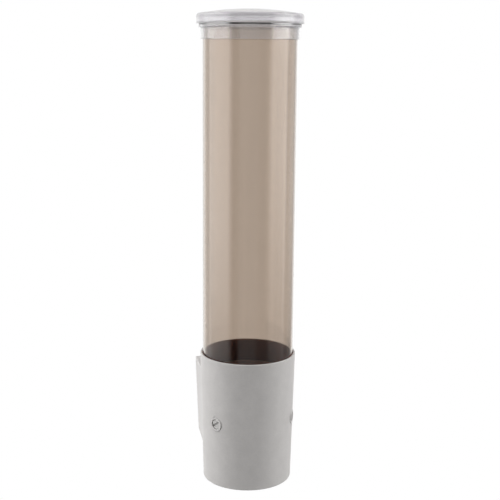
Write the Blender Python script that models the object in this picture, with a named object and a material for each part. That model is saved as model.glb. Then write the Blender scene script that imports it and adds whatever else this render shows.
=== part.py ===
"""Wall-mounted, pull-type dispenser for a stack of paper or plastic cups.

A smoke-brown tube holds the stack and stands in a tapered collar. Inside the collar a liner carries three
hinged fingers, which hold the lowest cup by its rim. Each finger leans on a slotted adjuster screw that sits
in a threaded bush in the collar's wall. The collar's flat back slides down over a bracket on the wall, and a
clear lid closes the top.

Units are metres and +Z is up. The wall is the plane y = 0 and the front faces -Y. The origin is the middle of
the bracket's back face. Heights named here are measured from the collar's lower edge.
"""

import math

import bmesh
import bpy
from mathutils import Vector

# Fits
GAP = 0.0003                    # between pieces that touch or bear on each other
OVERRUN = 0.004                 # how far a cutter passes the face it opens

# Tube
TUBE_RADIUS = 0.0435
TUBE_WALL = 0.0015
TUBE_TOP = 0.4351

# Place of the tube
TUBE_TO_WALL = 0.008
AXIS_TO_WALL = TUBE_RADIUS + TUBE_TO_WALL
ADJUSTER_HEIGHT = 0.0629        # also the middle of the wall bracket

# Collar
COLLAR_HEIGHT = 0.1259
COLLAR_WALL = 0.0019
SOCKET_WALL = 0.0021            # round the tube, at the rim
COLLAR_RIM_RADIUS = TUBE_RADIUS + GAP + SOCKET_WALL
COLLAR_TAPER = 0.003            # how much smaller the foot's radius is
COLLAR_FOOT_RADIUS = COLLAR_RIM_RADIUS - COLLAR_TAPER
COLLAR_FOOT_ROUND = 0.0014
COLLAR_RIM_ROUND = 0.0005
SOCKET_FLOOR = 0.1041
SHELF_TOP = 0.0711
SHELF_THICKNESS = 0.003
SHELF_WIDTH = 0.0014

# Flat back of the collar
BACK_TOP = 0.1092
BACK_BOTTOM = 0.0194
BACK_SIDE_INSET = 0.0065        # how much narrower than the rim each side is
BACK_TOP_HALF_WIDTH = COLLAR_RIM_RADIUS - BACK_SIDE_INSET
BACK_TAPER = 0.0036             # how much narrower each side is at the bottom
BACK_STANDOFF = 0.0008          # from the wall
BACK_CORNER_RADIUS = 0.016      # lower corners
BACK_WALL = 0.002
BACK_ROOT_DEPTH = 0.0005        # how deep its sides start in the collar's wall

# Wall bracket
BRACKET_HEIGHT = 0.067
BRACKET_HALF_WIDTH = 0.0215
BRACKET_FLARE = 0.0035          # how much narrower each side is at the wall
BRACKET_THICKNESS = 0.0035
BRACKET_LEAD_HEIGHT = 0.007
BRACKET_LEAD = 0.004
BRACKET_RAIL = 0.0025           # collar material on each side of the pocket
FIXING_SPACING = 0.044
FIXING_RADIUS = 0.00225
FIXING_HEAD_RADIUS = 0.0042
FIXING_HEAD_DEPTH = 0.0021

# Liner
LINER_STEP = 0.0039             # from the tube's outer surface in to the bore
LINER_BORE = TUBE_RADIUS - LINER_STEP
LINER_FUNNEL_HEIGHT = 0.005
BAY_HALF_WIDTH = 0.0086         # opening in the liner for one finger

# Fingers
HINGE_HEIGHT = 0.0914
HINGE_SETBACK = 0.0005          # from the liner's bore
HINGE_RADIUS = LINER_BORE + HINGE_SETBACK
FINGER_HALF_WIDTH = 0.008
FINGER_THICKNESS = 0.0016
FINGER_LENGTH = 0.040
FINGER_LIP = 0.0009
FINGER_LIP_HEIGHT = 0.007
FINGER_NECK_HALF_WIDTH = 0.0055
FINGER_NECK_LENGTH = 0.003
TRUNNION_RADIUS = 0.0009
TRUNNION_HALF_LENGTH = 0.0105
BAY_HEADROOM = 0.002            # from the hinge axis to the top of the bay

# Finger springs
WIRE_RADIUS = 0.0002
SPRING_RADIUS = 0.00145         # middle of the wire
SPRING_TURNS = 3
SPRING_PITCH = 0.00055
SPRING_LONG_LEG = 0.0048
SPRING_SHORT_LEG = 0.0018

# Adjusters: distances named REACH are from the tube's axis
BUSH_FLANGE_RADIUS = 0.007
BUSH_FLANGE_THICKNESS = 0.0009
BUSH_FLANGE_ROUND = 0.0003
BUSH_BODY_RADIUS = 0.006
BUSH_BODY_LENGTH = 0.0024
SPOT_FACE_DEPTH = 0.00095
BUSH_SEAT_REACH = COLLAR_FOOT_RADIUS + COLLAR_TAPER * ADJUSTER_HEIGHT / COLLAR_HEIGHT - SPOT_FACE_DEPTH
BUSH_INNER_REACH = BUSH_SEAT_REACH - BUSH_BODY_LENGTH
SCREW_RADIUS = 0.0045
SCREW_LENGTH = 0.0036
SCREW_PROUD = 0.0005            # of the spot face
SCREW_OUTER_REACH = BUSH_SEAT_REACH + SCREW_PROUD
SLOT_WIDTH = 0.0021
SLOT_DEPTH = 0.0014
PAD_RADIUS = 0.003
PAD_THICKNESS = 0.0012
PAD_FLAT_RADIUS = 0.001         # middle of its face, which falls away to the edge
PAD_CROWN = 0.0005
STEM_RADIUS = 0.001
STEM_LENGTH = 0.0012

# Lid
LID_SKIRT_WALL = 0.0014
LID_SKIRT_RADIUS = TUBE_RADIUS + GAP + LID_SKIRT_WALL
LID_SKIRT_DROP = 0.0127         # how far the skirt reaches below the tube's top
LID_WALL = 0.0015
LID_LEDGE_THICKNESS = 0.002
LID_BRIM_WIDTH = 0.0042         # how far it stands out from the skirt
LID_BRIM_RADIUS = LID_SKIRT_RADIUS + LID_BRIM_WIDTH
LID_BRIM_HEIGHT = 0.0068
LID_SHOULDER = 0.003
LID_DOME_RISE = 0.0071          # above the brim's shoulder
LID_EDGE_ROUND = 0.0007

# Stations of the three adjusters, in degrees from the front, and the turn of each screw's slot
STATIONS = {"left": (-60.0, 35.0), "right": (60.0, 90.0), "rear": (180.0, 0.0)}

# Facets
ROUND_STEPS = 72
SMALL_STEPS = 24
ARC_STEPS = 2
DOME_STEPS = 5
COIL_STEPS = 10
CORNER_STEPS = 6


def clear_scene():
    for obj in list(bpy.data.objects):
        bpy.data.objects.remove(obj)


def material(name, colour, roughness, metallic=0.0, transmission=0.0):
    mat = bpy.data.materials.new(name)
    mat.use_nodes = True
    shader = mat.node_tree.nodes["Principled BSDF"]
    shader.inputs["Base Color"].default_value = (*colour, 1.0)
    shader.inputs["Roughness"].default_value = roughness
    shader.inputs["Metallic"].default_value = metallic
    shader.inputs["Transmission Weight"].default_value = transmission
    mat.diffuse_color = (*colour, 1.0)
    return mat


def add_object(name, data, mat, parent=None, location=(0, 0, 0), rotation=(0, 0, 0)):
    obj = bpy.data.objects.new(name, data)
    bpy.context.scene.collection.objects.link(obj)
    obj.parent = parent
    obj.location = location
    obj.rotation_euler = rotation
    if mat is not None:
        data.materials.append(mat)
    return obj


def add_empty(name, parent=None, location=(0, 0, 0), rotation=(0, 0, 0)):
    return add_object(name, None, None, parent, location, rotation)


def to_mesh(name, bm, smooth=True):
    bmesh.ops.recalc_face_normals(bm, faces=bm.faces)
    mesh = bpy.data.meshes.new(name)
    bm.to_mesh(mesh)
    bm.free()
    if smooth:
        mesh.shade_smooth()
        mesh.set_sharp_from_angle(angle=math.radians(35))
    return mesh


def turned(name, profile, steps=ROUND_STEPS):
    """Solid turned about Z from a closed outline of (radius, height) points."""
    bm = bmesh.new()
    verts = [bm.verts.new((radius, 0, height)) for radius, height in profile]
    edges = []
    for start, end in zip(verts, verts[1:] + verts[:1]):
        if start.co.x or end.co.x:
            edges.append(bm.edges.new((start, end)))
    bmesh.ops.spin(bm, geom=verts + edges, cent=(0, 0, 0), axis=(0, 0, 1), dvec=(0, 0, 0),
                   angle=math.tau, steps=steps, use_merge=True)
    on_axis = [v for v in bm.verts if v.co.x == 0 and v.co.y == 0]
    bmesh.ops.remove_doubles(bm, verts=on_axis, dist=GAP * GAP)
    return to_mesh(name, bm)


def loft(name, rings, smooth=False):
    """Solid between outlines of equal length, each a list of points, closed by its first and last."""
    bm = bmesh.new()
    loops = [[bm.verts.new(point) for point in ring] for ring in rings]
    count = len(loops[0])
    for lower, upper in zip(loops, loops[1:]):
        for i in range(count):
            j = (i + 1) % count
            bm.faces.new((lower[i], lower[j], upper[j], upper[i]))
    bm.faces.new(loops[0][::-1])
    bm.faces.new(loops[-1])
    return to_mesh(name, bm, smooth)


def block(name, low, high):
    """Box between two opposite corners."""
    outline = [(low[0], low[1]), (high[0], low[1]), (high[0], high[1]), (low[0], high[1])]
    return loft(name, [[(x, y, z) for x, y in outline] for z in (low[2], high[2])])


def arc(centre, radius, start, end, steps=ARC_STEPS):
    """Points on an arc in the profile plane, with both angles in degrees."""
    points = []
    for i in range(steps + 1):
        angle = math.radians(start + (end - start) * i / steps)
        points.append((centre[0] + radius * math.cos(angle), centre[1] + radius * math.sin(angle)))
    return points


def add_cutter(name, mesh, parent, location=(0, 0, 0), rotation=(0, 0, 0)):
    cutter = add_object(name, mesh, None, parent, location, rotation)
    cutter.hide_render = True
    cutter.display_type = "WIRE"
    return cutter


def combine(obj, other, operation, solver="EXACT"):
    modifier = obj.modifiers.new(other.name, "BOOLEAN")
    modifier.operation = operation
    modifier.solver = solver
    modifier.object = other


def collar_outside(height):
    """Radius of the collar's outer surface."""
    return COLLAR_FOOT_RADIUS + COLLAR_TAPER * height / COLLAR_HEIGHT


def collar_inside(height):
    return collar_outside(height) - COLLAR_WALL


def collar_outer_profile():
    foot, rim = COLLAR_FOOT_ROUND, COLLAR_RIM_ROUND
    points = [(0, 0)]
    points += arc((collar_outside(foot) - foot, foot), foot, -90, 0)
    points += arc((COLLAR_RIM_RADIUS - rim, COLLAR_HEIGHT - rim), rim, 0, 90)
    return points + [(0, COLLAR_HEIGHT)]


def collar_bore_profile():
    shelf_bottom = SHELF_TOP - SHELF_THICKNESS
    slope_end = shelf_bottom - SHELF_WIDTH
    shelf_radius = collar_inside(SHELF_TOP) - SHELF_WIDTH
    socket_radius = TUBE_RADIUS + GAP
    return [
        (0, -OVERRUN),
        (collar_inside(-OVERRUN), -OVERRUN),
        (collar_inside(slope_end), slope_end),
        (shelf_radius, shelf_bottom),
        (shelf_radius, SHELF_TOP),
        (collar_inside(SHELF_TOP), SHELF_TOP),
        (collar_inside(SOCKET_FLOOR), SOCKET_FLOOR),
        (socket_radius, SOCKET_FLOOR),
        (socket_radius, COLLAR_HEIGHT + OVERRUN),
        (0, COLLAR_HEIGHT + OVERRUN),
    ]


def back_half_width(height):
    """Half-width of the collar's flat back, which narrows towards the bottom."""
    drop = (BACK_TOP - height) / (BACK_TOP - BACK_BOTTOM)
    return BACK_TOP_HALF_WIDTH - BACK_TAPER * drop


def touch_point(radius, corner):
    """Where a line from a corner outside a circle about the axis touches it, on the corner's front side."""
    reach = math.hypot(*corner)
    angle = math.atan2(corner[1], corner[0]) - math.acos(radius / reach)
    return radius * math.cos(angle), radius * math.sin(angle)


def back_outline(height, depth, inset):
    """Plan of the flat back: its sides run from the collar's widest part straight to the rear corners."""
    rear = AXIS_TO_WALL - BACK_STANDOFF
    half_width = back_half_width(height)
    touch = touch_point(collar_outside(height) - BACK_ROOT_DEPTH, (half_width, rear))
    side = Vector((half_width - touch[0], rear - touch[1])).normalized()
    shift = Vector((-side.y, side.x)) * inset
    front = Vector(touch) + shift
    corner = front + side * ((depth - front.y) / side.y)
    return [(front.x, front.y, height), (corner.x, corner.y, height),
            (-corner.x, corner.y, height), (-front.x, front.y, height)]


def back_solid(name, depth, inset):
    """Flat back as a block whose two lower side edges are rounded."""
    bottom, top = BACK_BOTTOM + inset, BACK_TOP - inset
    bm = bmesh.new()
    lower = [bm.verts.new(point) for point in back_outline(bottom, depth, inset)]
    upper = [bm.verts.new(point) for point in back_outline(top, depth, inset)]
    for i in range(4):
        j = (i + 1) % 4
        bm.faces.new((lower[i], lower[j], upper[j], upper[i]))
    bm.faces.new(lower[::-1])
    bm.faces.new(upper)
    bmesh.ops.recalc_face_normals(bm, faces=bm.faces)
    sides = [bm.edges.get((lower[0], lower[1])), bm.edges.get((lower[2], lower[3]))]
    bmesh.ops.bevel(bm, geom=sides, offset=BACK_CORNER_RADIUS - inset, segments=CORNER_STEPS,
                    profile=0.5, affect="EDGES")
    return to_mesh(name, bm)


def dovetail(name, low, high, clearance, lead):
    """Plate that is wider at its front than at the wall, with a narrower lead-in at the top."""
    wall = AXIS_TO_WALL
    front = wall - BRACKET_THICKNESS - clearance

    def ring(height, narrower):
        near = BRACKET_HALF_WIDTH + clearance - narrower
        far = near - BRACKET_FLARE
        return [(near, front, height), (far, wall, height), (-far, wall, height), (-near, front, height)]

    rings = [ring(low, 0), ring(high - BRACKET_LEAD_HEIGHT, 0), ring(high, lead)]
    return loft(name, rings)


def shape_collar(collar, other, operation):
    """Add to the collar or cut it. EXACT leaves open edges on its many facets, and MANIFOLD closes them."""
    combine(collar, other, operation, "MANIFOLD")


def make_collar(parent, mat):
    collar = add_object("throat_collar", turned("throat_collar", collar_outer_profile()), mat, parent)

    back = add_cutter("collar_back", back_solid("collar_back", AXIS_TO_WALL - BACK_STANDOFF, 0), parent)
    shape_collar(collar, back, "UNION")

    bore = add_cutter("collar_bore", turned("collar_bore", collar_bore_profile()), parent)
    shape_collar(collar, bore, "DIFFERENCE")

    pocket_top = ADJUSTER_HEIGHT + BRACKET_HEIGHT / 2 + GAP
    pocket = add_cutter("bracket_pocket",
                        dovetail("bracket_pocket", -OVERRUN, pocket_top, GAP, BRACKET_LEAD), parent)
    shape_collar(collar, pocket, "DIFFERENCE")

    cavity = add_cutter("back_cavity", back_solid("back_cavity", AXIS_TO_WALL + OVERRUN, BACK_WALL), parent)
    kept_wall = add_cutter("kept_wall", turned("kept_wall", [
        (0, -OVERRUN), (collar_outside(-OVERRUN), -OVERRUN),
        (collar_outside(COLLAR_HEIGHT), COLLAR_HEIGHT), (0, COLLAR_HEIGHT)]), parent)
    rail = BRACKET_HALF_WIDTH + GAP + BRACKET_RAIL
    kept_rails = add_cutter("kept_rails", block(
        "kept_rails", (-rail, 0, -OVERRUN), (rail, AXIS_TO_WALL + 2 * OVERRUN, COLLAR_HEIGHT)), parent)
    combine(cavity, kept_wall, "DIFFERENCE")
    combine(cavity, kept_rails, "DIFFERENCE")
    shape_collar(collar, cavity, "DIFFERENCE")
    return collar


def cut_station(collar, liner, name, station):
    """Spot face and hole for a bush, room in the shelf for a finger, and the finger's bay in the liner."""
    to_side = (math.radians(90), 0, 0)
    reach = AXIS_TO_WALL + OVERRUN
    face = add_cutter("spot_face_" + name, turned("spot_face_" + name, [
        (0, BUSH_SEAT_REACH), (BUSH_FLANGE_RADIUS + GAP, BUSH_SEAT_REACH),
        (BUSH_FLANGE_RADIUS + GAP, reach), (0, reach)], SMALL_STEPS), station, rotation=to_side)
    inner = BUSH_INNER_REACH - OVERRUN
    hole = add_cutter("bush_hole_" + name, turned("bush_hole_" + name, [
        (0, inner), (BUSH_BODY_RADIUS + GAP, inner),
        (BUSH_BODY_RADIUS + GAP, BUSH_SEAT_REACH + GAP), (0, BUSH_SEAT_REACH + GAP)],
        SMALL_STEPS), station, rotation=to_side)
    room_top = SHELF_TOP - ADJUSTER_HEIGHT + GAP
    room_bottom = room_top - SHELF_THICKNESS - SHELF_WIDTH - 2 * GAP
    room_half_width = BAY_HALF_WIDTH + SHELF_WIDTH
    room_reach = BUSH_INNER_REACH + GAP
    room = add_cutter("finger_room_" + name, block(
        "finger_room_" + name,
        (-room_half_width, -room_reach, room_bottom),
        (room_half_width, -room_reach + OVERRUN, room_top)), station)
    for cutter in (face, hole, room):
        shape_collar(collar, cutter, "DIFFERENCE")

    hinge = HINGE_HEIGHT - ADJUSTER_HEIGHT
    bay = add_cutter("finger_bay_" + name, block(
        "finger_bay_" + name,
        (-BAY_HALF_WIDTH, -AXIS_TO_WALL, room_top - OVERRUN),
        (BAY_HALF_WIDTH, OVERRUN - HINGE_RADIUS, hinge + BAY_HEADROOM)), station)
    slot = TRUNNION_RADIUS + GAP
    slot_half_length = TRUNNION_HALF_LENGTH + GAP
    groove = add_cutter("hinge_groove_" + name, block(
        "hinge_groove_" + name,
        (-slot_half_length, -AXIS_TO_WALL, hinge - slot),
        (slot_half_length, slot - HINGE_RADIUS, hinge + slot)), station)
    for cutter in (bay, groove):
        combine(liner, cutter, "DIFFERENCE")


def make_liner(parent, mat):
    bottom = SHELF_TOP + GAP
    top = SOCKET_FLOOR - GAP
    profile = [
        (LINER_BORE, bottom),
        (collar_inside(bottom) - GAP, bottom),
        (collar_inside(top) - GAP, top),
        (TUBE_RADIUS - TUBE_WALL, top),
        (LINER_BORE, top - LINER_FUNNEL_HEIGHT),
    ]
    return add_object("throat_liner", turned("throat_liner", profile), mat, parent)


def make_tube(parent, mat):
    inside = TUBE_RADIUS - TUBE_WALL
    profile = [(inside, SOCKET_FLOOR), (TUBE_RADIUS, SOCKET_FLOOR),
               (TUBE_RADIUS, TUBE_TOP), (inside, TUBE_TOP)]
    return add_object("cup_tube", turned("cup_tube", profile), mat, parent)


def dome(rim_radius, rim_height, top_height):
    """Shallow arc from a rim up to the axis, as (radius, height) points."""
    rise = top_height - rim_height
    radius = (rim_radius ** 2 + rise ** 2) / (2 * rise)
    points = []
    for i in range(DOME_STEPS + 1):
        x = rim_radius * (1 - i / DOME_STEPS)
        points.append((x, top_height - radius + math.sqrt(radius ** 2 - x ** 2)))
    return points


def lid_profile():
    skirt_inside = TUBE_RADIUS + GAP
    skirt_bottom = TUBE_TOP - LID_SKIRT_DROP
    seat = TUBE_TOP + GAP
    floor = seat + LID_LEDGE_THICKNESS
    brim_bottom = floor - LID_WALL
    brim_top = brim_bottom + LID_BRIM_HEIGHT
    brim_inside = LID_BRIM_RADIUS - LID_WALL
    shoulder_radius = LID_BRIM_RADIUS - LID_SHOULDER
    top = brim_top + LID_DOME_RISE
    edge = LID_EDGE_ROUND
    points = [(skirt_inside, skirt_bottom)]
    points += arc((LID_SKIRT_RADIUS - edge, skirt_bottom + edge), edge, -90, 0)
    points += [(LID_SKIRT_RADIUS, brim_bottom)]
    points += arc((LID_BRIM_RADIUS - edge, brim_bottom + edge), edge, -90, 0)
    points += arc((shoulder_radius, brim_top), LID_SHOULDER, 0, 60, 2 * ARC_STEPS)
    rim_radius, rim_height = points[-1]
    points += dome(rim_radius, rim_height, top)[1:]
    inner_dome = dome(shoulder_radius - LID_WALL, brim_top, top - LID_WALL)
    points += inner_dome[::-1]
    points += [
        (brim_inside, brim_top - LID_WALL),
        (brim_inside, floor),
        (TUBE_RADIUS - TUBE_WALL, floor),
        (TUBE_RADIUS - TUBE_WALL, seat),
        (skirt_inside, seat),
    ]
    return points


def make_lid(parent, mat):
    return add_object("dust_cap", turned("dust_cap", lid_profile()), mat, parent)


def make_bracket(parent, mat):
    low = ADJUSTER_HEIGHT - BRACKET_HEIGHT / 2
    high = ADJUSTER_HEIGHT + BRACKET_HEIGHT / 2
    bracket = add_object("wall_bracket", dovetail("wall_bracket", low, high, 0, BRACKET_LEAD), mat, parent)
    depth = BRACKET_THICKNESS
    hole_profile = [
        (0, -OVERRUN),
        (FIXING_RADIUS, -OVERRUN),
        (FIXING_RADIUS, depth - FIXING_HEAD_DEPTH),
        (FIXING_HEAD_RADIUS, depth),
        (FIXING_HEAD_RADIUS, depth + OVERRUN),
        (0, depth + OVERRUN),
    ]
    for side, name in ((-1, "lower"), (1, "upper")):
        height = ADJUSTER_HEIGHT + side * FIXING_SPACING / 2
        hole = add_cutter("fixing_hole_" + name, turned("fixing_hole_" + name, hole_profile, SMALL_STEPS),
                          parent, (0, AXIS_TO_WALL, height), (math.radians(90), 0, 0))
        combine(bracket, hole, "DIFFERENCE")
    return bracket


def make_bush(name, station, mat):
    """Flanged bush, with its inner end at the object's origin and its axis along the object's Z."""
    seat = BUSH_SEAT_REACH + GAP - BUSH_INNER_REACH
    face = seat + BUSH_FLANGE_THICKNESS
    edge = BUSH_FLANGE_ROUND
    bore = SCREW_RADIUS + GAP
    profile = [(bore, 0), (BUSH_BODY_RADIUS, 0), (BUSH_BODY_RADIUS, seat), (BUSH_FLANGE_RADIUS, seat)]
    profile += arc((BUSH_FLANGE_RADIUS - edge, face - edge), edge, 0, 90)
    profile += [(bore, face)]
    return add_object("adjuster_bush_" + name, turned("adjuster_bush_" + name, profile, SMALL_STEPS), mat,
                      station, (0, -BUSH_INNER_REACH, 0), (math.radians(90), 0, 0))


def make_screw(name, station, slot_turn, mat):
    """Slotted adjuster screw, with its inner end at the object's origin and a blind hole there."""
    hole = STEM_RADIUS + GAP
    hole_depth = STEM_LENGTH + GAP
    profile = [(hole, 0), (SCREW_RADIUS, 0), (SCREW_RADIUS, SCREW_LENGTH), (0, SCREW_LENGTH),
               (0, hole_depth), (hole, hole_depth)]
    inner_reach = SCREW_OUTER_REACH - SCREW_LENGTH
    screw = add_object("adjuster_screw_" + name, turned("adjuster_screw_" + name, profile, SMALL_STEPS), mat,
                       station, (0, -inner_reach, 0), (math.radians(90), 0, 0))
    half = SLOT_WIDTH / 2
    past = SCREW_RADIUS + OVERRUN
    slot = add_cutter("screw_slot_" + name, block(
        "screw_slot_" + name,
        (-past, -half, SCREW_LENGTH - SLOT_DEPTH),
        (past, half, SCREW_LENGTH + OVERRUN)), screw, rotation=(0, 0, math.radians(slot_turn)))
    combine(screw, slot, "DIFFERENCE")
    return screw


def make_pad(name, station, mat):
    """Thrust pad on the screw's inner end, with its origin on its inner face and its stem in the screw."""
    stem_end = PAD_THICKNESS + GAP + STEM_LENGTH
    profile = [(0, 0), (PAD_FLAT_RADIUS, 0), (PAD_RADIUS, PAD_CROWN), (PAD_RADIUS, PAD_THICKNESS),
               (STEM_RADIUS, PAD_THICKNESS), (STEM_RADIUS, stem_end), (0, stem_end)]
    return add_object("adjuster_pad_" + name, turned("adjuster_pad_" + name, profile, SMALL_STEPS), mat,
                      station, (0, -pad_reach(), 0), (math.radians(90), 0, 0))


def pad_reach():
    """Distance of the pad's inner face from the tube's axis."""
    return SCREW_OUTER_REACH - SCREW_LENGTH - GAP - PAD_THICKNESS


def finger_lean():
    """Angle at which a finger leans inwards so that its back bears on the pad."""
    drop = HINGE_HEIGHT - ADJUSTER_HEIGHT
    inward = HINGE_RADIUS - (pad_reach() - GAP)
    reach = math.hypot(inward, drop)
    return math.atan2(inward, drop) + math.asin(FINGER_THICKNESS / 2 / reach)


def make_finger(name, station, mat):
    """Finger with two trunnions on its hinge axis, which is the object's X axis."""
    lean = finger_lean()
    down = Vector((0, math.sin(lean), -math.cos(lean)))
    inward = Vector((0, math.cos(lean), math.sin(lean)))
    half = FINGER_THICKNESS / 2

    def slab(slab_name, outline, half_width):
        rings = []
        for x in (-half_width, half_width):
            rings.append([Vector((x, 0, 0)) + down * along + inward * across for along, across in outline])
        return loft(slab_name, rings)

    lip_start = FINGER_LENGTH - FINGER_LIP_HEIGHT
    lip_middle = FINGER_LENGTH - FINGER_LIP_HEIGHT / 2
    leaf = [(FINGER_NECK_LENGTH, -half), (FINGER_LENGTH, -half), (FINGER_LENGTH, half),
            (lip_middle, half + FINGER_LIP), (lip_start, half), (FINGER_NECK_LENGTH, half)]
    neck_end = FINGER_NECK_LENGTH + FINGER_THICKNESS
    shallow = half - GAP / 3
    neck = [(-TRUNNION_RADIUS, -shallow), (neck_end, -shallow),
            (neck_end, shallow), (-TRUNNION_RADIUS, shallow)]
    hinge = (0, -HINGE_RADIUS, HINGE_HEIGHT - ADJUSTER_HEIGHT)
    finger = add_object("grip_finger_" + name, slab("grip_finger_" + name, leaf, FINGER_HALF_WIDTH), mat,
                        station, hinge)
    neck_part = add_cutter("finger_neck_" + name, slab("finger_neck_" + name, neck, FINGER_NECK_HALF_WIDTH),
                           finger)
    pin = add_cutter("finger_trunnions_" + name, turned("finger_trunnions_" + name, [
        (0, -TRUNNION_HALF_LENGTH), (TRUNNION_RADIUS, -TRUNNION_HALF_LENGTH),
        (TRUNNION_RADIUS, TRUNNION_HALF_LENGTH), (0, TRUNNION_HALF_LENGTH)], SMALL_STEPS // 2),
        finger, rotation=(0, math.radians(90), 0))
    combine(finger, neck_part, "UNION")
    combine(finger, pin, "UNION")
    return finger


def make_spring(name, station, mat):
    """Torsion spring round one trunnion. Its long leg lies before the finger, and its short one points in."""
    lean = finger_lean()
    start_x = FINGER_NECK_HALF_WIDTH + GAP + WIRE_RADIUS

    def place(turn, x, leg=0):
        """Point on the coil at a turn from its innermost side, or down a straight leg from there."""
        y = SPRING_RADIUS * math.cos(turn) + leg * math.sin(turn)
        z = SPRING_RADIUS * math.sin(turn) - leg * math.cos(turn)
        return Vector((x, y, z))

    points = [place(lean, start_x, SPRING_LONG_LEG), place(lean, start_x, SPRING_LONG_LEG / 2)]
    for i in range(SPRING_TURNS * COIL_STEPS + COIL_STEPS // 4 + 1):
        points.append(place(lean + math.tau * i / COIL_STEPS, start_x + SPRING_PITCH * i / COIL_STEPS))
    points.append(points[-1] - Vector((0, math.cos(lean), math.sin(lean))) * SPRING_SHORT_LEG)

    curve = bpy.data.curves.new("finger_spring_" + name, "CURVE")
    curve.dimensions = "3D"
    curve.bevel_depth = WIRE_RADIUS
    curve.bevel_resolution = 1
    curve.use_fill_caps = True
    spline = curve.splines.new("POLY")
    spline.points.add(len(points) - 1)
    for target, point in zip(spline.points, points):
        target.co = (*point, 1.0)
    hinge = (0, -HINGE_RADIUS, HINGE_HEIGHT - ADJUSTER_HEIGHT)
    return add_object("finger_spring_" + name, curve, mat, station, hinge)


def main():
    clear_scene()
    grey_plastic = material("light_grey_plastic", (0.56, 0.55, 0.54), 0.5)
    bush_plastic = material("bush_plastic", (0.53, 0.52, 0.51), 0.5)
    bracket_plastic = material("bracket_plastic", (0.5, 0.5, 0.49), 0.55)
    smoke_plastic = material("smoke_plastic", (0.4, 0.31, 0.24), 0.08, transmission=0.9)
    clear_plastic = material("clear_plastic", (0.85, 0.86, 0.87), 0.15, transmission=0.8)
    liner_plastic = material("liner_plastic", (0.05, 0.045, 0.042), 0.5)
    finger_plastic = material("finger_plastic", (0.12, 0.11, 0.105), 0.45)
    screw_plastic = material("screw_plastic", (0.5, 0.49, 0.48), 0.45)
    pad_plastic = material("pad_plastic", (0.75, 0.74, 0.7), 0.4)
    spring_steel = material("spring_steel", (0.6, 0.6, 0.6), 0.3, metallic=1.0)

    axis = add_empty("tube_axis", location=(0, -AXIS_TO_WALL, -ADJUSTER_HEIGHT))
    make_bracket(axis, bracket_plastic)
    collar = make_collar(axis, grey_plastic)
    liner = make_liner(axis, liner_plastic)
    make_tube(axis, smoke_plastic)
    make_lid(axis, clear_plastic)
    for name, (azimuth, slot_turn) in STATIONS.items():
        station = add_empty("station_" + name, axis, (0, 0, ADJUSTER_HEIGHT), (0, 0, math.radians(azimuth)))
        cut_station(collar, liner, name, station)
        make_bush(name, station, bush_plastic)
        make_screw(name, station, slot_turn, screw_plastic)
        make_pad(name, station, pad_plastic)
        make_finger(name, station, finger_plastic)
        make_spring(name, station, spring_steel)


main()
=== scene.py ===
"""Looks of the wall-mounted cup dispenser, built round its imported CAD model.

Units are metres, in the CAD's frame: the wall is the plane y = 0, the front faces -Y and +Z is up. As in the
CAD's source, outlines give heights from the collar's lower edge and distances from the tube's axis.
"""

import math

import bmesh
import bpy
from mathutils import Euler, Matrix, Vector


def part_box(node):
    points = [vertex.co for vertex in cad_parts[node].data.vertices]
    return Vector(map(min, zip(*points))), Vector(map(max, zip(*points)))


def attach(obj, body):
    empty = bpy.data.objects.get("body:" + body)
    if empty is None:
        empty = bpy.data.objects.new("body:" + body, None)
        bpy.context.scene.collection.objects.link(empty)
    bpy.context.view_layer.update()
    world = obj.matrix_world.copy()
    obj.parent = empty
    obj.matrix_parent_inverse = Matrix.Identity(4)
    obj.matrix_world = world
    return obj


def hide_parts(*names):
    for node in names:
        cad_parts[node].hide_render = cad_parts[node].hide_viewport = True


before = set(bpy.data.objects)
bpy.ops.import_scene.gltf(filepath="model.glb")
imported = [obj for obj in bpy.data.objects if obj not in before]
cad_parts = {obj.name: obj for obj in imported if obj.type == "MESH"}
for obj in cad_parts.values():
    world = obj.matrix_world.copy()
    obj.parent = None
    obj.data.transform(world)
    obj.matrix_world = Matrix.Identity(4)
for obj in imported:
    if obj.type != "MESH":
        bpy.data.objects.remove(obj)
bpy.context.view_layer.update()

# Places that the CAD gives
TUBE_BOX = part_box("cup_tube")
COLLAR_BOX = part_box("throat_collar")
LID_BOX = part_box("dust_cap")
BRACKET_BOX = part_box("wall_bracket")
AXIS_Y = (TUBE_BOX[0].y + TUBE_BOX[1].y) / 2
FOOT_Z = COLLAR_BOX[0].z
WALL_REACH = -AXIS_Y            # from the tube's axis to the wall
ADJUSTER_HEIGHT = -FOOT_Z

# Fits
GAP = 0.0003                    # between pieces that touch, as in the CAD
OVERRUN = 0.004                 # how far a cutter passes the face it opens
WELD_DISTANCE = 0.000005        # joins the CAD meshes' split corners

# Tube
TUBE_RADIUS = (TUBE_BOX[1].x - TUBE_BOX[0].x) / 2
TUBE_WALL = 0.0015
TUBE_FOOT = TUBE_BOX[0].z - FOOT_Z
TUBE_TOP = TUBE_BOX[1].z - FOOT_Z
TUBE_EDGE = 0.0004
TUBE_END_SHADE = 0.0006              # how far the painted shade at the sawn top end reaches down
TUBE_END_SLOPE = 0.3            # upward or downward part of a normal from which a face is the tube's end

# Collar
COLLAR_HEIGHT = COLLAR_BOX[1].z - FOOT_Z
RIM_OVER_TUBE = 0.0024
FOOT_UNDER_TUBE = 0.0006
COLLAR_RIM_RADIUS = TUBE_RADIUS + RIM_OVER_TUBE
COLLAR_FOOT_RADIUS = TUBE_RADIUS - FOOT_UNDER_TUBE
COLLAR_WALL = 0.0019
SHELF_TOP = 0.0711
SHELF_THICKNESS = 0.003
SHELF_WIDTH = 0.0014
FINGER_ROOM_HALF_WIDTH = 0.01   # gap in the shelf behind each finger
SOCKET_FLOOR = TUBE_FOOT
FOOT_ROUND = 0.0014
RIM_ROUND = 0.0006

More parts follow.
